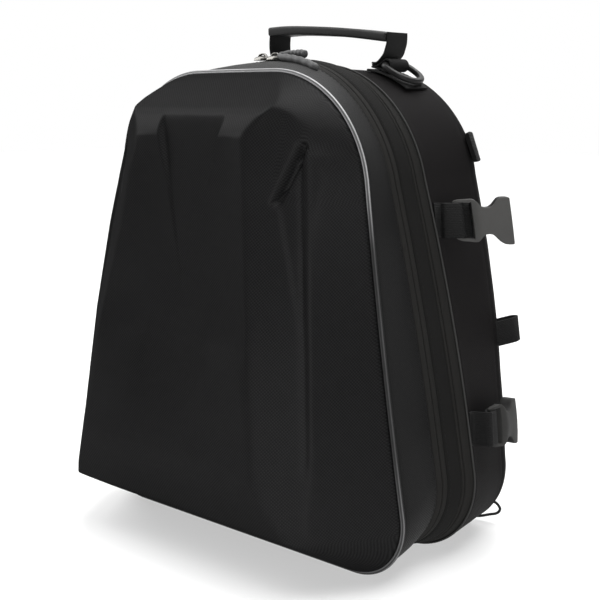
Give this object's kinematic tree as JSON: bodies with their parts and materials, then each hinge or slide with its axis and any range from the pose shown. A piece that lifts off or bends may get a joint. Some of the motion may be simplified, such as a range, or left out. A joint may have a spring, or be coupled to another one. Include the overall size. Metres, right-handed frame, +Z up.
{
  "type": "motorcycle backpack",
  "caption": "Hard-shell motorcycle backpack with a moulded faceted front, zippered gussets, soft back section, carry handle, side buckles and padded shoulder straps.",
  "frame": {"origin": "on the floor under the middle of the bag's overall width and depth", "axes": "+Z up, -Y out of the moulded front shell, +Y towards the wearer's back, +X to the right seen from the front"},
  "size_m": [0.3534, 0.2497, 0.3939],
  "materials": {
    "shell_moulded": "satin moulded shell with a fine woven-look grain",
    "piping_reflective": "satin reflective grey bead",
    "gusset_cloth": "plain woven cloth",
    "zipper_tape": "coil zipper and its tapes",
    "back_cloth": "smooth dark cloth",
    "grip_rubber": "ribbed soft grip",
    "slider_chrome": "bright plated",
    "pull_rubber": "matt grey",
    "ring_plastic": "satin",
    "buckle_plastic": "fine moulded grain",
    "webbing": "ribbed webbing",
    "cord_cloth": "braided",
    "strap_pad": "padded cloth"
  },
  "bodies": {
    "bag": {"shell": "shell_moulded", "piping": "piping_reflective", "front_gusset": "gusset_cloth", "main_zipper": "zipper_tape", "expander_gusset": "gusset_cloth", "rear_zipper": "zipper_tape", "back_body": "back_cloth", "handle_grip": "grip_rubber", "handle_leg_left": "webbing", "handle_leg_right": "webbing", "ring_patch_left": "webbing", "ring_patch_right": "webbing", "ring_tab_left": "webbing", "ring_tab_right": "webbing", "zip_slider_a": "slider_chrome", "zip_slider_b": "slider_chrome", "zip_pull_a": "pull_rubber", "zip_pull_b": "pull_rubber", "upper_strap_left": "webbing", "upper_strap_right": "webbing", "lower_strap_left": "webbing", "lower_strap_right": "webbing", "upper_buckle_left": "buckle_plastic", "upper_buckle_right": "buckle_plastic", "lower_buckle_left": "buckle_plastic", "lower_buckle_right": "buckle_plastic", "side_loop_left": "webbing", "side_loop_right": "webbing", "top_tab_left": "webbing", "top_tab_right": "webbing", "cord_loop_left": "cord_cloth", "cord_loop_right": "cord_cloth", "shoulder_strap_left": "strap_pad", "shoulder_strap_right": "strap_pad"},
    "d_ring_right": {"d_ring_right": "ring_plastic"},
    "d_ring_left": {"d_ring_left": "ring_plastic"}
  },
  "joints": [
    {"name": "d_ring_right_hinge", "type": "hinge", "parent": "bag", "child": "d_ring_right", "pos_m": [0.06132, 0.06945, 0.36051], "axis": [0, -1, 0], "range_deg": [0, 80]},
    {"name": "d_ring_left_hinge", "type": "hinge", "parent": "bag", "child": "d_ring_left", "pos_m": [-0.06132, 0.06945, 0.36051], "axis": [0, 1, 0], "range_deg": [0, 80]}
  ]
}
